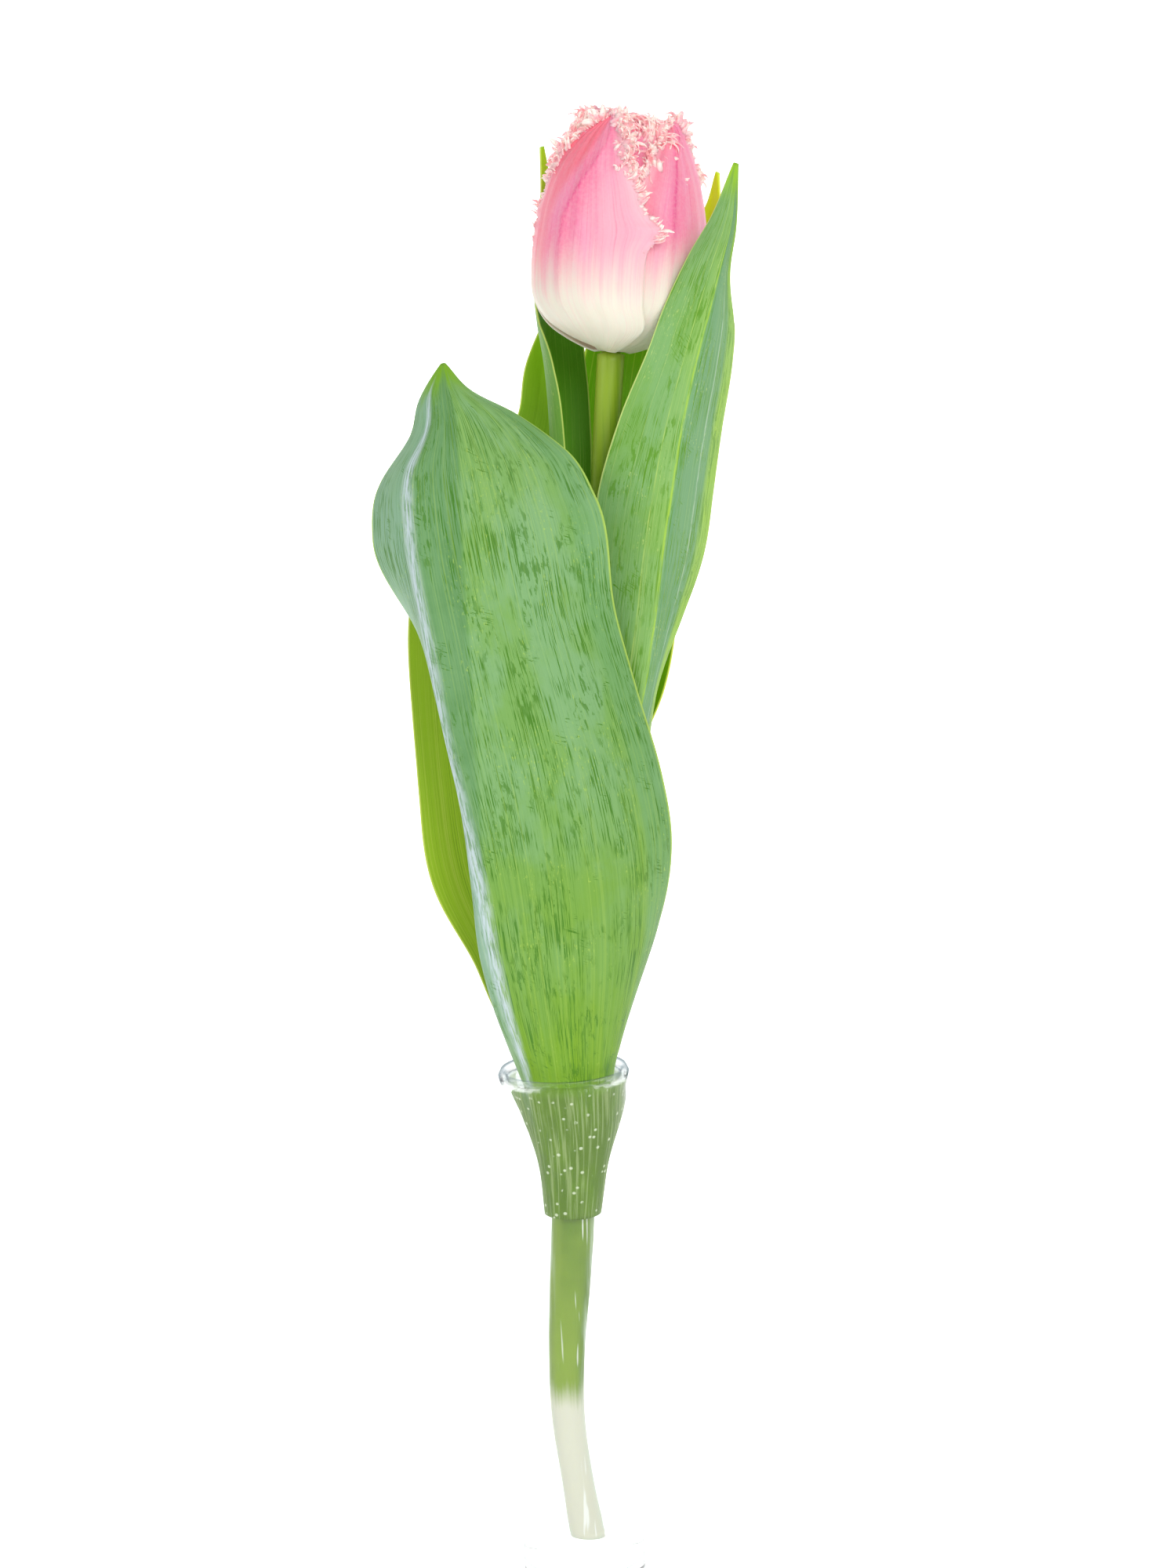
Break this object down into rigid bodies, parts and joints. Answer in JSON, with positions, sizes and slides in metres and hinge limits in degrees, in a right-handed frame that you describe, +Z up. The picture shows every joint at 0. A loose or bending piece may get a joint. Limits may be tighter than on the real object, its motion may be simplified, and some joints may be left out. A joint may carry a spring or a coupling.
{
  "type": "cut tulip in a glass tube vase",
  "caption": "Cut fringed tulip with broad waved leaves, standing in a slim round glass tube vase filled with water.",
  "frame": {"origin": "middle of the vase's flat base", "axes": "+Z up along the vase's axis, -Y towards the flower's show side with its largest leaf, +X to the right when that side is seen from the front"},
  "size_m": [0.0929, 0.0536, 0.3799],
  "materials": {
    "glass": "clear",
    "water": "clear, wet",
    "stem": "satin plant skin",
    "leaf": "waxy leaf with fine parallel veins",
    "petal": "silky petal, pink over a cream base",
    "pistil": "satin plant skin",
    "stamen": "matt, powdery"
  },
  "bodies": {
    "root": {"vase": "glass", "water": "water", "stem": "stem", "leaf_1": "leaf", "leaf_2": "leaf", "leaf_3": "leaf", "leaf_4": "leaf", "leaf_5": "leaf", "petal_outer_1": "petal", "petal_outer_2": "petal", "petal_outer_3": "petal", "petal_inner_1": "petal", "petal_inner_2": "petal", "petal_inner_3": "petal", "pistil": "pistil", "stamen_1": "stamen", "stamen_2": "stamen", "stamen_3": "stamen", "stamen_4": "stamen", "stamen_5": "stamen", "stamen_6": "stamen"}
  },
  "joints": []
}
